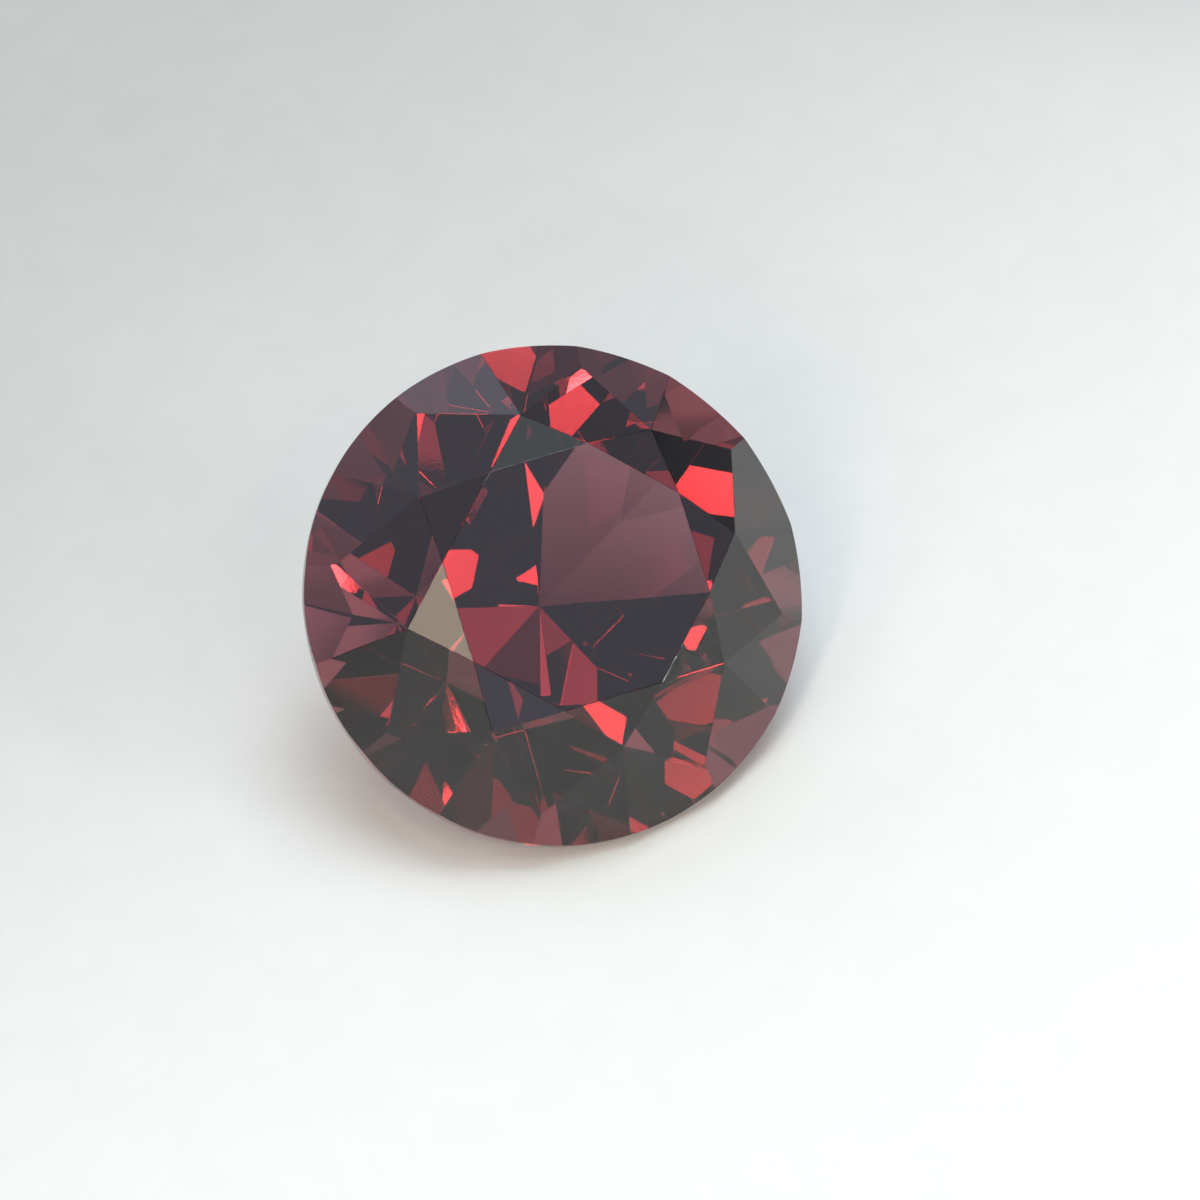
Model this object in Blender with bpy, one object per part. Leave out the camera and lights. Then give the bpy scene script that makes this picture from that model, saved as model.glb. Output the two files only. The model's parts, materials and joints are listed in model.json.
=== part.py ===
"""A round brilliant cut tourmaline, lying on one of its pavilion facets.

The stone is cut the way a faceter cuts it: a round blank is laid against the lap at one angle
and one turn after another, and each pass takes one flat facet off it. All facets are worked out
in girdle radii with the table facing +Z, and the finished stone is then brought to its real size
and tipped over on to the main facet that it rests on.

Frame: metres, +Z up, the table looks up and towards -Y, the origin is under the middle of the stone.
"""

import math

import bmesh
import bpy
from mathutils import Matrix, Vector

# Real size, in metres.
GIRDLE_RADIUS = 0.0035

# The blank, in girdle radii. Its flats are fine enough to read as a bruted, round girdle.
BLANK_HALF_HEIGHT = 1.2
GIRDLE_FLATS = 96

# Everything below is in girdle radii and degrees, with heights counted from the girdle's middle.
FOLDS = 8
FOLD_ANGLE = 360.0 / FOLDS
HALF_FOLD = FOLD_ANGLE / 2.0
QUARTER_FOLD = FOLD_ANGLE / 4.0
GIRDLE_THICKNESS = 0.04

# Crown, the half that carries the table.
CROWN_TURN = -5.625
TABLE_CORNER_RADIUS = 0.528
BEZEL_ANGLE = 45.5
BEZEL_LIFT = 0.05
STAR_REACH = 0.372

# Pavilion, the half that comes to a point.
PAVILION_TURN = 24.375
MAIN_ANGLE = 42.0
MAIN_DROP = 0.014
RIDGE_RADIUS = 0.428

# The main facet that the stone lies on, counted round the pavilion.
REST_MAIN = 6

# Vertices nearer to a cutting plane than this, in girdle radii, count as lying in it.
MEET_TOLERANCE = 0.00002


def clear_scene():
    for old in list(bpy.data.objects):
        bpy.data.objects.remove(old, do_unlink=True)


def tangent(degrees):
    return math.tan(math.radians(degrees))


def cosine(degrees):
    return math.cos(math.radians(degrees))


def slope(rise, run):
    return math.degrees(math.atan2(rise, run))


def facet(turn, angle, radius, height, side):
    """A plane tilted by angle from the table, facing turn, through a point at radius and height.

    side is 1 for the crown and -1 for the pavilion.
    """
    around = math.radians(turn)
    tilt = math.radians(angle)
    outward = Vector((math.cos(around), math.sin(around), 0.0))
    normal = outward * math.sin(tilt) + Vector((0.0, 0.0, side * math.cos(tilt)))
    point = outward * radius + Vector((0.0, 0.0, height))
    return point, normal


def crown_facets():
    """Table, bezels, stars and upper girdle facets, meeting point to point."""
    girdle_top = GIRDLE_THICKNESS / 2.0
    bezel_foot = girdle_top + BEZEL_LIFT
    table_height = bezel_foot + (1.0 - TABLE_CORNER_RADIUS) * tangent(BEZEL_ANGLE)
    table_flat_radius = TABLE_CORNER_RADIUS * cosine(HALF_FOLD)
    star_tip_radius = table_flat_radius + STAR_REACH * (1.0 - table_flat_radius)
    star_tip_height = bezel_foot + (1.0 - star_tip_radius * cosine(HALF_FOLD)) * tangent(BEZEL_ANGLE)
    star_angle = slope(table_height - star_tip_height, star_tip_radius - table_flat_radius)
    upper_run = 1.0 - star_tip_radius * cosine(QUARTER_FOLD)
    upper_angle = slope(star_tip_height - girdle_top, upper_run)

    yield facet(0.0, 0.0, 0.0, table_height, 1)
    for fold in range(FOLDS):
        bezel_turn = CROWN_TURN + fold * FOLD_ANGLE
        star_turn = bezel_turn + HALF_FOLD
        yield facet(bezel_turn, BEZEL_ANGLE, 1.0, bezel_foot, 1)
        yield facet(star_turn, star_angle, table_flat_radius, table_height, 1)
        yield facet(star_turn - QUARTER_FOLD, upper_angle, 1.0, girdle_top, 1)
        yield facet(star_turn + QUARTER_FOLD, upper_angle, 1.0, girdle_top, 1)


def main_turn(fold):
    return PAVILION_TURN + fold * FOLD_ANGLE


def pavilion_facets():
    """Mains that come together at the culet, and the lower girdle facets between them."""
    girdle_foot = -GIRDLE_THICKNESS / 2.0
    main_top = girdle_foot - MAIN_DROP
    ridge_height = main_top - (1.0 - RIDGE_RADIUS * cosine(HALF_FOLD)) * tangent(MAIN_ANGLE)
    lower_run = 1.0 - RIDGE_RADIUS * cosine(QUARTER_FOLD)
    lower_angle = slope(girdle_foot - ridge_height, lower_run)

    for fold in range(FOLDS):
        ridge_turn = main_turn(fold) + HALF_FOLD
        yield facet(main_turn(fold), MAIN_ANGLE, 1.0, main_top, -1)
        yield facet(ridge_turn - QUARTER_FOLD, lower_angle, 1.0, girdle_foot, -1)
        yield facet(ridge_turn + QUARTER_FOLD, lower_angle, 1.0, girdle_foot, -1)


def cut(stone, point, normal):
    """Grind away what stands proud of a plane and close the stone with the new flat."""
    everything = stone.verts[:] + stone.edges[:] + stone.faces[:]
    result = bmesh.ops.bisect_plane(
        stone,
        geom=everything,
        dist=MEET_TOLERANCE,
        plane_co=point,
        plane_no=normal,
        clear_outer=True,
    )
    rim = [item for item in result["geom_cut"] if isinstance(item, bmesh.types.BMEdge)]
    open_rim = [edge for edge in rim if edge.is_boundary]
    if open_rim:
        bmesh.ops.edgeloop_fill(stone, edges=open_rim)
    bmesh.ops.remove_doubles(stone, verts=stone.verts[:], dist=MEET_TOLERANCE)


def round_blank():
    stone = bmesh.new()
    bmesh.ops.create_cone(
        stone,
        cap_ends=True,
        segments=GIRDLE_FLATS,
        radius1=1.0 / cosine(180.0 / GIRDLE_FLATS),
        radius2=1.0 / cosine(180.0 / GIRDLE_FLATS),
        depth=2.0 * BLANK_HALF_HEIGHT,
    )
    return stone


def lay_down(stone):
    """Bring the stone to size, tip it on to its rest facet and centre it over the origin."""
    face_front = Matrix.Rotation(math.radians(-90.0 - main_turn(REST_MAIN)), 4, "Z")
    tip_over = Matrix.Rotation(math.radians(MAIN_ANGLE), 4, "X")
    size = Matrix.Scale(GIRDLE_RADIUS, 4)
    bmesh.ops.transform(stone, matrix=tip_over @ face_front @ size, verts=stone.verts[:])
    low = Vector(min(vert.co[axis] for vert in stone.verts) for axis in range(3))
    high = Vector(max(vert.co[axis] for vert in stone.verts) for axis in range(3))
    middle = (low + high) / 2.0
    bmesh.ops.translate(stone, vec=(-middle.x, -middle.y, -low.z), verts=stone.verts[:])


def tourmaline_material():
    """Deep purplish red crystal, clear and polished."""
    material = bpy.data.materials.new("tourmaline")
    material.use_nodes = True
    shader = material.node_tree.nodes["Principled BSDF"]
    shader.inputs["Base Color"].default_value = (0.36, 0.07, 0.12, 1.0)
    shader.inputs["Roughness"].default_value = 0.02
    shader.inputs["Metallic"].default_value = 0.0
    shader.inputs["IOR"].default_value = 1.635
    shader.inputs["Transmission Weight"].default_value = 1.0
    return material


def make_stone():
    stone = round_blank()
    for point, normal in crown_facets():
        cut(stone, point, normal)
    for point, normal in pavilion_facets():
        cut(stone, point, normal)
    lay_down(stone)
    bmesh.ops.recalc_face_normals(stone, faces=stone.faces[:])

    mesh = bpy.data.meshes.new("tourmaline_stone")
    stone.to_mesh(mesh)
    stone.free()
    mesh.materials.append(tourmaline_material())
    piece = bpy.data.objects.new("tourmaline_stone", mesh)
    bpy.context.scene.collection.objects.link(piece)
    return piece


clear_scene()
make_stone()
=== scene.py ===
import json
import math

import bpy
from mathutils import Matrix, Vector


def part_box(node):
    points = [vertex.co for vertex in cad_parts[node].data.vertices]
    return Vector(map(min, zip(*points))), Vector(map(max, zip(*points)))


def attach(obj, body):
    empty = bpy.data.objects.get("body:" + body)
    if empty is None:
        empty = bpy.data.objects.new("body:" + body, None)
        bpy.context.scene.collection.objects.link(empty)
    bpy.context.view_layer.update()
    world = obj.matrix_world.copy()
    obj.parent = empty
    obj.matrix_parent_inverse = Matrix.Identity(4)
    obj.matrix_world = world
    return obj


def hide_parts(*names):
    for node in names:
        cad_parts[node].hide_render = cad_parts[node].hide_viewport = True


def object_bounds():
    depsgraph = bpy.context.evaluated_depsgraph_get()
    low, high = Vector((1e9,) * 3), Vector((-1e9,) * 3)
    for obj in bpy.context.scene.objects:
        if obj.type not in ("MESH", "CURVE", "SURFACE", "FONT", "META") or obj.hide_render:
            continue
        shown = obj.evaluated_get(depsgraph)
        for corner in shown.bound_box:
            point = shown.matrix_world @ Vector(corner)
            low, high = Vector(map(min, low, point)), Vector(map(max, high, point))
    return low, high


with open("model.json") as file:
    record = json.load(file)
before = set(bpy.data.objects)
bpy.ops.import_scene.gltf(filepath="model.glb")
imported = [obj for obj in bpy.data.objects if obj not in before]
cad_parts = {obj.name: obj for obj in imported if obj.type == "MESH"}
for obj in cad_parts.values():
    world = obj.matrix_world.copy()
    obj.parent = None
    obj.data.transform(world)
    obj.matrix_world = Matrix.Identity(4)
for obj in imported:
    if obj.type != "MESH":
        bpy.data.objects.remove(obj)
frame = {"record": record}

CAD_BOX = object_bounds()

MILLIMETRE = 0.001

# The cut, in degrees and girdle radii, with that radius in millimetres. Heights count from the
# girdle's middle.
FOLDS = 8
FOLD_ANGLE = 360.0 / FOLDS
HALF_FOLD = FOLD_ANGLE / 2.0
QUARTER_FOLD = FOLD_ANGLE / 4.0
GIRDLE_RADIUS = 3.5
GIRDLE_THICKNESS = 0.04
GIRDLE_FLATS = 192
BLANK_HALF_HEIGHT = 1.2
CROWN_TURN = -5.625
TABLE_CORNER_RADIUS = 0.528
BEZEL_ANGLE = 45.5
BEZEL_LIFT = 0.05
STAR_REACH = 0.372
PAVILION_TURN = 24.375
MAIN_ANGLE = 42.0
MAIN_DROP = 0.014
RIDGE_RADIUS = 0.428
REST_MAIN = 6

# Worn edges, in millimetres and degrees.
EDGE_WEAR = 0.006
SHARPEST_SMOOTH_EDGE = 2.5
MEET_TOLERANCE = 0.0001

# The crystal. The absorption's density is per metre, and the noise scales are per millimetre.
TOURMALINE_IOR = 1.635
ABSORPTION_DENSITY = 560.0
ABSORPTION_COLOUR = (0.55, 0.08, 0.14)
SMUDGE_SCALE = 0.9
SMUDGE_SHARE = 0.6
GRAIN_SCALE = 14.0
POLISH_ROUGHNESS = 0.004
SMUDGE_ROUGHNESS = 0.010
GRAIN_ROUGHNESS = 0.004
WAVE_STRENGTH = 0.01
WAVE_HEIGHT = 0.00001
CLEAR_TINT = (1.0, 0.97, 0.97, 1.0)
SMUDGE_TINT = (0.96, 0.93, 0.95, 1.0)

# The camera. The sizes in pixels are those of the photograph.
STONE_CENTRE = (CAD_BOX[0] + CAD_BOX[1]) / 2.0
GIRDLE_RADIUS_METRES = GIRDLE_RADIUS * MILLIMETRE
PHOTO_SIZE = 1200
PHOTO_RADIUS = 252.0
PHOTO_CENTRE = (553.5, 595.0)
VIEW_LEAN = 12.3
VIEW_TOWARDS = 36.8
CAMERA_DISTANCE = 24.0
SENSOR_WIDTH = 36.0
CLIP_START = 0.005
CLIP_END = 10.0

# The floor. Its side and its gap below the stone are in metres. The reach of its painted light and
# painted shadow is in millimetres, along a heading from the stone.
FLOOR_SIDE = 0.6
FLOOR_GAP = 0.00002
FLOOR_ROUGHNESS = 0.9
FIBRE_SCALE = 1.2
FIBRE_SHARE = 0.1
# Painted light falloff: the paper is painted from this shaded grey at the back to pale at the front.
PAPER_IN_PAINTED_SHADE = (0.50, 0.515, 0.51, 1.0)
PAPER_IN_PAINTED_LIGHT = (0.94, 0.965, 0.96, 1.0)
# Painted shadow: the paper turns this dim colour far off at the back right.
PAINTED_SHADOW_PAPER = (0.22, 0.21, 0.24, 1.0)
TOWARDS_FRONT = (0.15, -0.99, 0.0)
PAINTED_LIGHT_FROM = -21.0
PAINTED_LIGHT_TO = 11.0
BACK_RIGHT = (0.82, 0.57, 0.0)
PAINTED_SHADOW_FROM = 14.0
PAINTED_SHADOW_TO = 28.0

# The lights, with their distance in metres. A colour is that of the panel's face.
LIGHT_DISTANCE = 0.5
ROOM_BRIGHTNESS = 0.03
COOL = (0.84, 0.95, 1.0)
NEUTRAL = (1.0, 1.0, 1.0)
BLUE = (0.80, 0.92, 1.0)
LILAC = (0.86, 0.82, 1.0)
WARM = (1.0, 0.84, 0.66)

# Light has to cross many facets before it leaves the stone.
LIGHT_BOUNCES = 16


def tangent(degrees):
    return math.tan(math.radians(degrees))


def cosine(degrees):
    return math.cos(math.radians(degrees))


def slope(rise, run):
    return math.degrees(math.atan2(rise, run))


# Shader maths.

# A Mix node names its colour sockets as it names its number sockets, so they go by their places.
MIX_COLOUR = 6
MIX_OTHER_COLOUR = 7
MIX_RESULT = 2


class Wire:
    """What comes out of a node. Arithmetic on it adds Math nodes to its finish."""

    def __init__(self, finish, socket):
        self.finish = finish
        self.socket = socket

    def _maths(self, operation, first, second):
        return self.finish.node("ShaderNodeMath", {"operation": operation}, {0: first, 1: second})

    def __add__(self, other):
        return self._maths("ADD", self, other)

    def __radd__(self, other):
        return self._maths("ADD", other, self)

    def __sub__(self, other):
        return self._maths("SUBTRACT", self, other)

    def __rsub__(self, other):
        return self._maths("SUBTRACT", other, self)

    def __mul__(self, other):
        return self._maths("MULTIPLY", self, other)

    def __rmul__(self, other):
        return self._maths("MULTIPLY", other, self)


class Finish:
    """One material and the nodes that make it."""

    def __init__(self, name):
        self.material = bpy.data.materials.new(name)
        self.material.use_nodes = True
        self.tree = self.material.node_tree
        self.tree.nodes.clear()
        self.output = self.tree.nodes.new("ShaderNodeOutputMaterial")

    def plug(self, socket, value):
        if isinstance(value, Wire):
            self.tree.links.new(value.socket, socket)
        else:
            socket.default_value = value

    def node(self, kind, settings=None, inputs=None, output=0):
        made = self.tree.nodes.new(kind)
        for setting, value in (settings or {}).items():
            setattr(made, setting, value)
        for name, value in (inputs or {}).items():
            self.plug(made.inputs[name], value)
        return Wire(self, made.outputs[output])

    def surface(self, wire):
        self.tree.links.new(wire.socket, self.output.inputs["Surface"])

    def volume(self, wire):
        self.tree.links.new(wire.socket, self.output.inputs["Volume"])

    def place(self, scale):
        spot = self.node("ShaderNodeTexCoord", output="Object")
        return self.node("ShaderNodeMapping", inputs={"Vector": spot, "Scale": (scale, scale, scale)})

    def blend(self, factor, colour, other_colour):
        return self.node(
            "ShaderNodeMix",
            {"data_type": "RGBA"},
            {"Factor": factor, MIX_COLOUR: colour, MIX_OTHER_COLOUR: other_colour},
            output=MIX_RESULT,
        )


def crystal_finish():
    """Clear, deep purplish red tourmaline. Its polish is uneven by a little, as after handling."""
    finish = Finish("polished_tourmaline")
    spot = finish.place(1.0 / MILLIMETRE)
    smudges = finish.node(
        "ShaderNodeTexNoise",
        inputs={"Vector": spot, "Scale": SMUDGE_SCALE, "Detail": 3.0},
    )
    grain = finish.node(
        "ShaderNodeTexNoise",
        inputs={"Vector": spot, "Scale": GRAIN_SCALE, "Detail": 2.0},
    )
    roughness = POLISH_ROUGHNESS + SMUDGE_ROUGHNESS * smudges + GRAIN_ROUGHNESS * grain
    height = SMUDGE_SHARE * smudges + (1.0 - SMUDGE_SHARE) * grain
    waviness = finish.node(
        "ShaderNodeBump",
        inputs={"Strength": WAVE_STRENGTH, "Distance": WAVE_HEIGHT, "Height": height},
    )
    tint = finish.blend(smudges, CLEAR_TINT, SMUDGE_TINT)
    shader = finish.node(
        "ShaderNodeBsdfPrincipled",
        inputs={
            "Base Color": tint,
            "Roughness": roughness,
            "Metallic": 0.0,
            "IOR": TOURMALINE_IOR,
            "Transmission Weight": 1.0,
            "Normal": waviness,
        },
    )
    finish.surface(shader)
    body_colour = finish.node(
        "ShaderNodeVolumeAbsorption",
        inputs={"Color": (*ABSORPTION_COLOUR, 1.0), "Density": ABSORPTION_DENSITY},
    )
    finish.volume(body_colour)
    return finish.material


def floor_finish():
    """Pale paper with painted light falloff, painted palest at the front, and a painted shadow dim
    far off at the back right.
    """
    finish = Finish("floor_with_painted_light")
    spot = finish.place(1.0 / MILLIMETRE)
    fibres = finish.node(
        "ShaderNodeTexNoise",
        inputs={"Vector": spot, "Scale": FIBRE_SCALE, "Detail": 4.0},
    )

    def rise_along(heading, nearest, furthest):
        """0 up to nearest and 1 from furthest on, in millimetres along a heading from the stone."""
        along = finish.node(
            "ShaderNodeVectorMath",
            {"operation": "DOT_PRODUCT"},
            {0: spot, 1: heading},
            output="Value",
        )
        return finish.node(
            "ShaderNodeMapRange",
            {"interpolation_type": "SMOOTHSTEP"},
            {"Value": along, "From Min": nearest, "From Max": furthest},
        )

    # Painted light and shade on the paper: paler towards the front, darker towards the back, with
    # some real fibre in it.
    painted_light_rise = rise_along(TOWARDS_FRONT, PAINTED_LIGHT_FROM, PAINTED_LIGHT_TO)
    fibre_and_painted_light = (1.0 - FIBRE_SHARE) * painted_light_rise + FIBRE_SHARE * fibres
    paper = finish.blend(fibre_and_painted_light, PAPER_IN_PAINTED_SHADE, PAPER_IN_PAINTED_LIGHT)
    # Painted shadow on the paper, dim far off at the back right.
    with_painted_shadow = finish.blend(rise_along(BACK_RIGHT, PAINTED_SHADOW_FROM, PAINTED_SHADOW_TO), paper, PAINTED_SHADOW_PAPER)
    shader = finish.node(
        "ShaderNodeBsdfPrincipled",
        inputs={"Base Color": with_painted_shadow, "Roughness": FLOOR_ROUGHNESS},
    )
    finish.surface(shader)
    return finish.material


# The cut stone.


def facet(turn, angle, radius, height, side):
    """A point and the outward normal of a facet. side is 1 for the crown, -1 for the pavilion."""
    around = math.radians(turn)
    tilt = math.radians(angle)
    outward = Vector((math.cos(around), math.sin(around), 0.0))
    normal = outward * math.sin(tilt) + Vector((0.0, 0.0, side * math.cos(tilt)))
    point = outward * radius + Vector((0.0, 0.0, height))
    return point * GIRDLE_RADIUS, normal


def bezel_height(radius):
    """How high the ridge line down the middle of a bezel stands at a radius."""
    return GIRDLE_THICKNESS / 2.0 + BEZEL_LIFT + (1.0 - radius) * tangent(BEZEL_ANGLE)


def crown_facets():
    girdle_top = GIRDLE_THICKNESS / 2.0
    table_height = bezel_height(TABLE_CORNER_RADIUS)
    table_flat_radius = TABLE_CORNER_RADIUS * cosine(HALF_FOLD)
    star_tip_radius = table_flat_radius + STAR_REACH * (1.0 - table_flat_radius)
    star_tip_height = bezel_height(star_tip_radius * cosine(HALF_FOLD))
    star_angle = slope(table_height - star_tip_height, star_tip_radius - table_flat_radius)
    upper_run = 1.0 - star_tip_radius * cosine(QUARTER_FOLD)
    upper_angle = slope(star_tip_height - girdle_top, upper_run)

    yield facet(0.0, 0.0, 0.0, table_height, 1)
    for fold in range(FOLDS):
        bezel_turn = CROWN_TURN + fold * FOLD_ANGLE
        star_turn = bezel_turn + HALF_FOLD
        yield facet(bezel_turn, BEZEL_ANGLE, 1.0, bezel_height(1.0), 1)
        yield facet(star_turn, star_angle, table_flat_radius, table_height, 1)
        yield facet(star_turn - QUARTER_FOLD, upper_angle, 1.0, girdle_top, 1)
        yield facet(star_turn + QUARTER_FOLD, upper_angle, 1.0, girdle_top, 1)


def main_turn(fold):
    return PAVILION_TURN + fold * FOLD_ANGLE


def pavilion_facets():
    girdle_foot = -GIRDLE_THICKNESS / 2.0
    main_top = girdle_foot - MAIN_DROP
    ridge_height = main_top - (1.0 - RIDGE_RADIUS * cosine(HALF_FOLD)) * tangent(MAIN_ANGLE)
    lower_run = 1.0 - RIDGE_RADIUS * cosine(QUARTER_FOLD)
    lower_angle = slope(girdle_foot - ridge_height, lower_run)

    for fold in range(FOLDS):
        ridge_turn = main_turn(fold) + HALF_FOLD
        yield facet(main_turn(fold), MAIN_ANGLE, 1.0, main_top, -1)
        yield facet(ridge_turn - QUARTER_FOLD, lower_angle, 1.0, girdle_foot, -1)
        yield facet(ridge_turn + QUARTER_FOLD, lower_angle, 1.0, girdle_foot, -1)


def round_blank():
    bpy.ops.object.select_all(action="DESELECT")
    bpy.ops.mesh.primitive_cylinder_add(
        vertices=GIRDLE_FLATS,
        radius=GIRDLE_RADIUS / cosine(180.0 / GIRDLE_FLATS),
        depth=2.0 * BLANK_HALF_HEIGHT * GIRDLE_RADIUS,
    )
    return bpy.context.active_object


def grind(point, normal):
    """One pass on the lap: take off what stands proud of the facet's plane and leave a flat."""
    bpy.ops.mesh.select_all(action="SELECT")
    bpy.ops.mesh.bisect(
        plane_co=point,
        plane_no=normal,
        use_fill=True,
        clear_outer=True,
        threshold=MEET_TOLERANCE,
    )


def wear_edges():
    """A narrow worn flat along every facet edge."""
    bpy.ops.mesh.select_all(action="SELECT")
    bpy.ops.mesh.remove_doubles(threshold=MEET_TOLERANCE)
    bpy.ops.mesh.select_all(action="DESELECT")
    bpy.ops.mesh.edges_select_sharp(sharpness=math.radians(SHARPEST_SMOOTH_EDGE))
    bpy.ops.mesh.bevel(
        offset=EDGE_WEAR,
        offset_type="WIDTH",
        segments=1,
        affect="EDGES",
        clamp_overlap=True,
    )
    bpy.ops.mesh.select_all(action="SELECT")
    bpy.ops.mesh.normals_make_consistent(inside=False)


def rest_turn():
    """The turn from the cut's own frame, with the table up, to the stone lying on its rest facet."""
    face_front = Matrix.Rotation(math.radians(-90.0 - main_turn(REST_MAIN)), 4, "Z")
    tip_over = Matrix.Rotation(math.radians(MAIN_ANGLE), 4, "X")
    return tip_over @ face_front


def lay_down(stone):
    """Turn the stone on to its rest facet, bring it to metres and set it where its solid lies."""
    stone.data.transform(Matrix.Scale(MILLIMETRE, 4) @ rest_turn())
    corners = [vertex.co for vertex in stone.data.vertices]
    low = Vector(min(corner[axis] for corner in corners) for axis in range(3))
    high = Vector(max(corner[axis] for corner in corners) for axis in range(3))
    solid_low, solid_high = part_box("tourmaline_stone")
    shift = (Vector(solid_low) + Vector(solid_high)) / 2.0 - (low + high) / 2.0
    stone.data.transform(Matrix.Translation(shift))


def cut_stone():
    stone = round_blank()
    stone.name = "cut_stone"
    bpy.ops.object.mode_set(mode="EDIT")
    for point, normal in crown_facets():
        grind(point, normal)
    for point, normal in pavilion_facets():
        grind(point, normal)
    wear_edges()
    bpy.ops.object.mode_set(mode="OBJECT")
    lay_down(stone)
    bpy.ops.object.shade_smooth_by_angle(angle=math.radians(SHARPEST_SMOOTH_EDGE))
    stone.data.materials.clear()
    stone.data.materials.append(crystal_finish())
    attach(stone, "root")
    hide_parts("tourmaline_stone")
    return stone


# The scene round it.


def girdle_centre():
    """The middle of the girdle, measured back from the table's centre along the stone's axis."""
    table = next(mount for mount in frame["record"]["mounts"] if mount["name"] == "table")
    table_height = bezel_height(TABLE_CORNER_RADIUS) * GIRDLE_RADIUS_METRES
    return Vector(table["pos_m"]) - Vector(table["axis"]) * table_height


def place_camera():
    """The photograph's view: VIEW_LEAN off the table's normal, away from the VIEW_TOWARDS side."""
    lean = math.radians(VIEW_LEAN)
    towards = math.radians(VIEW_TOWARDS)
    back = Vector((
        -math.sin(lean) * math.cos(towards),
        -math.sin(lean) * math.sin(towards),
        math.cos(lean),
    ))
    turn = Vector((0.0, 0.0, 1.0)).rotation_difference(back).to_matrix()
    aim = rest_turn().to_3x3() @ turn
    right = aim @ Vector((1.0, 0.0, 0.0))
    up = aim @ Vector((0.0, 1.0, 0.0))
    backwards = aim @ Vector((0.0, 0.0, 1.0))
    pixel = GIRDLE_RADIUS_METRES / PHOTO_RADIUS
    middle = PHOTO_SIZE / 2.0
    target = girdle_centre()
    target += right * (middle - PHOTO_CENTRE[0]) * pixel
    target += up * (PHOTO_CENTRE[1] - middle) * pixel

    lens = bpy.data.cameras.new("camera")
    camera = bpy.data.objects.new("camera", lens)
    bpy.context.scene.collection.objects.link(camera)
    camera.location = target + backwards * CAMERA_DISTANCE * GIRDLE_RADIUS_METRES
    camera.rotation_euler = aim.to_euler()
    lens.sensor_width = SENSOR_WIDTH
    lens.lens = SENSOR_WIDTH * PHOTO_RADIUS * CAMERA_DISTANCE / PHOTO_SIZE
    lens.clip_start = CLIP_START
    lens.clip_end = CLIP_END
    bpy.context.scene.camera = camera
    return camera


def lay_floor():
    bpy.ops.object.select_all(action="DESELECT")
    bpy.ops.mesh.primitive_plane_add(size=FLOOR_SIDE)
    floor = bpy.context.active_object
    floor.name = "floor"
    floor.location.z = -FLOOR_GAP
    floor.data.materials.append(floor_finish())


def softbox(name, azimuth, elevation, width, height, brightness, colour):
    """A soft light that looks at the stone. azimuth 0 is in front of it and 90 to its right.

    width and height are degrees as the stone sees them, and brightness is that of the panel's face.
    """
    around = math.radians(azimuth)
    rise = math.radians(elevation)
    away = Vector((
        math.cos(rise) * math.sin(around),
        -math.cos(rise) * math.cos(around),
        math.sin(rise),
    ))
    panel = bpy.data.lights.new(name, "AREA")
    panel.shape = "RECTANGLE"
    panel.size = 2.0 * LIGHT_DISTANCE * tangent(width / 2.0)
    panel.size_y = 2.0 * LIGHT_DISTANCE * tangent(height / 2.0)
    panel.energy = brightness * math.pi * panel.size * panel.size_y
    panel.color = colour
    light = bpy.data.objects.new(name, panel)
    bpy.context.scene.collection.objects.link(light)
    light.location = STONE_CENTRE + away * LIGHT_DISTANCE
    light.rotation_euler = away.to_track_quat("Z", "Y").to_euler()


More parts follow.
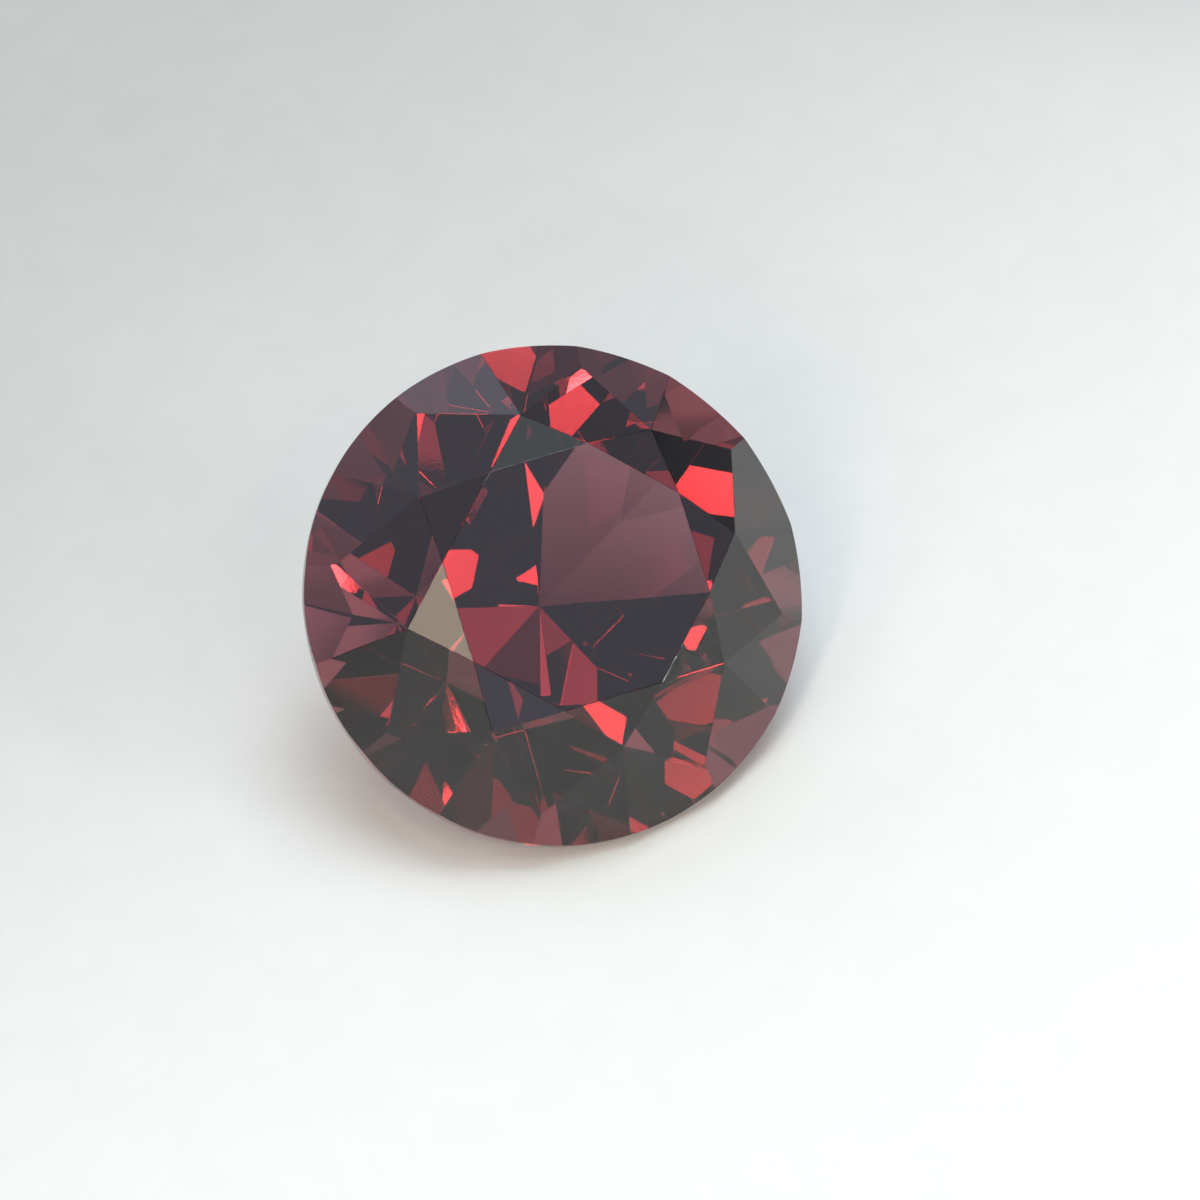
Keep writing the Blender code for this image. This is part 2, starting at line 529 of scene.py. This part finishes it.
def light_scene():
    """Soft light from above, small lamps for the red flashes, and dim cards for facets to mirror."""
    world = bpy.data.worlds.new("room")
    bpy.context.scene.world = world
    world.use_nodes = True
    backdrop = world.node_tree.nodes["Background"]
    backdrop.inputs["Color"].default_value = (*COOL, 1.0)
    backdrop.inputs["Strength"].default_value = ROOM_BRIGHTNESS

    # Each has its azimuth, elevation, width, height, brightness and colour.
    softbox("ceiling", 90.0, 78.0, 16.0, 36.0, 6.0, COOL)
    softbox("back_ceiling", 172.0, 67.0, 50.0, 18.0, 1.2, BLUE)
    softbox("left_ceiling", -84.0, 58.0, 20.0, 16.0, 1.8, WARM)
    softbox("high_left_card", -113.0, 70.0, 10.0, 8.0, 0.8, LILAC)
    softbox("right_ceiling", 40.0, 72.0, 28.0, 22.0, 3.4, BLUE)
    softbox("front_sky", 19.0, 48.0, 8.0, 8.0, 0.95, LILAC)
    softbox("high_left_spot", -30.0, 67.0, 3.0, 3.0, 70.0, WARM)
    softbox("left_window", -64.0, 38.0, 11.0, 14.0, 5.0, WARM)
    softbox("left_strip", -42.0, 44.0, 3.6, 34.0, 16.0, WARM)
    softbox("front_lamp", 2.0, 41.0, 6.0, 6.0, 18.0, WARM)
    softbox("front_side_lamp", 16.0, 38.0, 5.0, 5.0, 12.0, WARM)
    softbox("front_panel", -8.0, 33.0, 6.0, 6.0, 4.0, NEUTRAL)
    softbox("front_left_panel", -20.0, 27.0, 8.0, 6.0, 4.0, WARM)
    softbox("front_left_spot", -30.0, 29.5, 3.0, 3.0, 50.0, WARM)
    softbox("front_left_card", -31.0, 9.0, 10.0, 8.0, 1.2, LILAC)
    softbox("table_lamp", 11.5, 51.0, 4.0, 6.0, 2.8, NEUTRAL)
    softbox("low_right_strip", 35.0, 12.0, 11.0, 22.0, 10.0, NEUTRAL)
    softbox("low_right_card", 52.0, 15.0, 34.0, 11.0, 3.0, NEUTRAL)
    softbox("right_panel", 33.0, 46.0, 12.0, 11.0, 3.5, COOL)
    softbox("right_card", 74.0, 14.0, 8.0, 8.0, 0.7, LILAC)
    softbox("high_right_card", 99.0, 38.0, 8.0, 8.0, 0.7, LILAC)
    softbox("back_left_wall", -146.0, 28.0, 80.0, 36.0, 0.75, LILAC)
    softbox("back_right_wall", 155.0, 18.0, 44.0, 33.0, 0.45, LILAC)


def set_look():
    scene = bpy.context.scene
    scene.view_settings.view_transform = "Standard"
    scene.cycles.max_bounces = LIGHT_BOUNCES
    scene.cycles.transmission_bounces = LIGHT_BOUNCES
    scene.cycles.glossy_bounces = LIGHT_BOUNCES


cut_stone()
lay_floor()
place_camera()
light_scene()
set_look()
